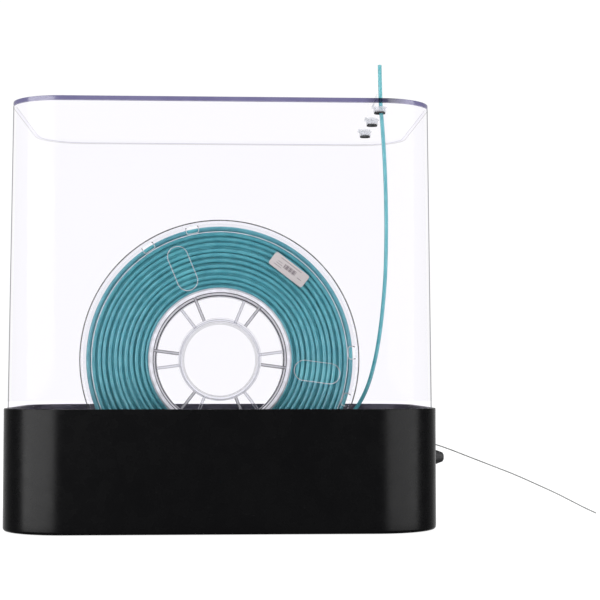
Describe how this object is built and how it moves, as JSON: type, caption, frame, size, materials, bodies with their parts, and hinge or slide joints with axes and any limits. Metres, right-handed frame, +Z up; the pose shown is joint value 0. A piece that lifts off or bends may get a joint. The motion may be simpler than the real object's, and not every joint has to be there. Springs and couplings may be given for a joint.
{
  "type": "filament spool in dry box",
  "caption": "Clear spool of thick teal filament lying on rollers in a black tub under a clear lift-off cover, its free end standing out of a capped outlet.",
  "frame": {"origin": "on the ground under the middle of the tub", "axes": "+Z up, +X towards the side with the outlets and the side stopper, -Y towards the viewer's long side where the loaded spool is"},
  "size_m": [0.4617, 0.224, 0.3432],
  "materials": {
    "tub_plastic": "satin black moulded plastic",
    "black_rubber": "matt black rubber",
    "clear_cover": "polished clear plastic with a faint violet cast",
    "clear_top": "polished clear plastic whose edge looks slate violet",
    "cloudy_plastic": "translucent natural plastic",
    "clear_spool": "polished clear plastic",
    "teal_filament": "satin teal filament",
    "grey_strand": "grey filament",
    "steel": "ground steel",
    "grey_plastic": "dark grey moulded plastic",
    "white_label": "matt white paper label",
    "sachet_cloth": "white non-woven cloth"
  },
  "bodies": {
    "base": {"base_shell": "tub_plastic", "cover_gasket": "black_rubber", "foot_front_left": "black_rubber", "foot_front_right": "black_rubber", "foot_rear_left": "black_rubber", "foot_rear_right": "black_rubber", "axle_block_front_left": "tub_plastic", "axle_block_front_right": "tub_plastic", "axle_block_rear_left": "tub_plastic", "axle_block_rear_right": "tub_plastic", "axle_left": "steel", "axle_spacer_left_1": "tub_plastic", "axle_spacer_left_2": "tub_plastic", "axle_spacer_left_3": "tub_plastic", "desiccant_tray_left": "tub_plastic", "desiccant_sachet_left": "sachet_cloth", "desiccant_lid_left": "grey_plastic", "axle_right": "steel", "axle_spacer_right_1": "tub_plastic", "axle_spacer_right_2": "tub_plastic", "axle_spacer_right_3": "tub_plastic", "desiccant_tray_right": "tub_plastic", "desiccant_sachet_right": "sachet_cloth", "desiccant_lid_right": "grey_plastic", "stopper_bush": "black_rubber", "strand_bush": "black_rubber", "side_strand": "grey_strand", "filament_strand": "teal_filament"},
    "cover": {"cover_wall": "clear_cover", "cover_top": "clear_top", "outlet_collar_front": "cloudy_plastic", "outlet_grommet_front": "black_rubber", "outlet_collar_middle": "cloudy_plastic", "outlet_grommet_middle": "black_rubber", "outlet_collar_rear": "cloudy_plastic", "outlet_grommet_rear": "black_rubber"},
    "spool": {"spool_half_front": "clear_spool", "spool_half_rear": "clear_spool", "filament_winding": "teal_filament", "spool_label": "white_label"},
    "cap_front": {"outlet_cap_front": "cloudy_plastic"},
    "cap_middle": {"outlet_cap_middle": "cloudy_plastic"},
    "cap_rear": {"outlet_cap_rear": "cloudy_plastic"},
    "roller_left_1": {"roller_left_1": "grey_plastic", "bearing_left_1": "steel"},
    "roller_left_2": {"roller_left_2": "grey_plastic", "bearing_left_2": "steel"},
    "roller_left_3": {"roller_left_3": "grey_plastic", "bearing_left_3": "steel"},
    "roller_left_4": {"roller_left_4": "grey_plastic", "bearing_left_4": "steel"},
    "roller_right_1": {"roller_right_1": "grey_plastic", "bearing_right_1": "steel"},
    "roller_right_2": {"roller_right_2": "grey_plastic", "bearing_right_2": "steel"},
    "roller_right_3": {"roller_right_3": "grey_plastic", "bearing_right_3": "steel"},
    "roller_right_4": {"roller_right_4": "grey_plastic", "bearing_right_4": "steel"},
    "stopper": {"side_stopper": "black_rubber"}
  },
  "joints": [
    {"name": "spool_spin", "type": "hinge", "parent": "base", "child": "spool", "pos_m": [-0.001, -0.062, 0.1238], "axis": [0, 1, 0], "continuous": true},
    {"name": "roller_left_1_spin", "type": "hinge", "parent": "base", "child": "roller_left_1", "pos_m": [-0.066, -0.09325, 0.031], "axis": [0, 1, 0], "continuous": true},
    {"name": "roller_left_2_spin", "type": "hinge", "parent": "base", "child": "roller_left_2", "pos_m": [-0.066, -0.03075, 0.031], "axis": [0, 1, 0], "continuous": true},
    {"name": "roller_left_3_spin", "type": "hinge", "parent": "base", "child": "roller_left_3", "pos_m": [-0.066, 0.03075, 0.031], "axis": [0, 1, 0], "continuous": true},
    {"name": "roller_left_4_spin", "type": "hinge", "parent": "base", "child": "roller_left_4", "pos_m": [-0.066, 0.09325, 0.031], "axis": [0, 1, 0], "continuous": true},
    {"name": "roller_right_1_spin", "type": "hinge", "parent": "base", "child": "roller_right_1", "pos_m": [0.064, -0.09325, 0.031], "axis": [0, 1, 0], "continuous": true},
    {"name": "roller_right_2_spin", "type": "hinge", "parent": "base", "child": "roller_right_2", "pos_m": [0.064, -0.03075, 0.031], "axis": [0, 1, 0], "continuous": true},
    {"name": "roller_right_3_spin", "type": "hinge", "parent": "base", "child": "roller_right_3", "pos_m": [0.064, 0.03075, 0.031], "axis": [0, 1, 0], "continuous": true},
    {"name": "roller_right_4_spin", "type": "hinge", "parent": "base", "child": "roller_right_4", "pos_m": [0.064, 0.09325, 0.031], "axis": [0, 1, 0], "continuous": true},
    {"name": "cover_lift", "type": "slide", "parent": "base", "child": "cover", "axis": [0, 0, 1], "range_m": [0, 0.24]},
    {"name": "cap_front_hinge", "type": "hinge", "parent": "cover", "child": "cap_front", "pos_m": [0.1123, -0.062, 0.3126], "axis": [0, -1, 0], "range_deg": [0, 60]},
    {"name": "cap_middle_hinge", "type": "hinge", "parent": "cover", "child": "cap_middle", "pos_m": [0.1123, -0.0035, 0.3126], "axis": [0, -1, 0], "range_deg": [0, 110]},
    {"name": "cap_rear_hinge", "type": "hinge", "parent": "cover", "child": "cap_rear", "pos_m": [0.1123, 0.055, 0.3126], "axis": [0, -1, 0], "range_deg": [0, 110]},
    {"name": "stopper_pull", "type": "slide", "parent": "base", "child": "stopper", "axis": [1, 0, 0], "range_m": [0, 0.025]}
  ],
  "couplings": [
    {"joint": "roller_left_1_spin", "follows": "spool_spin", "ratio": -7.6923},
    {"joint": "roller_left_2_spin", "follows": "spool_spin", "ratio": -7.6923},
    {"joint": "roller_right_1_spin", "follows": "spool_spin", "ratio": -7.6923},
    {"joint": "roller_right_2_spin", "follows": "spool_spin", "ratio": -7.6923}
  ]
}
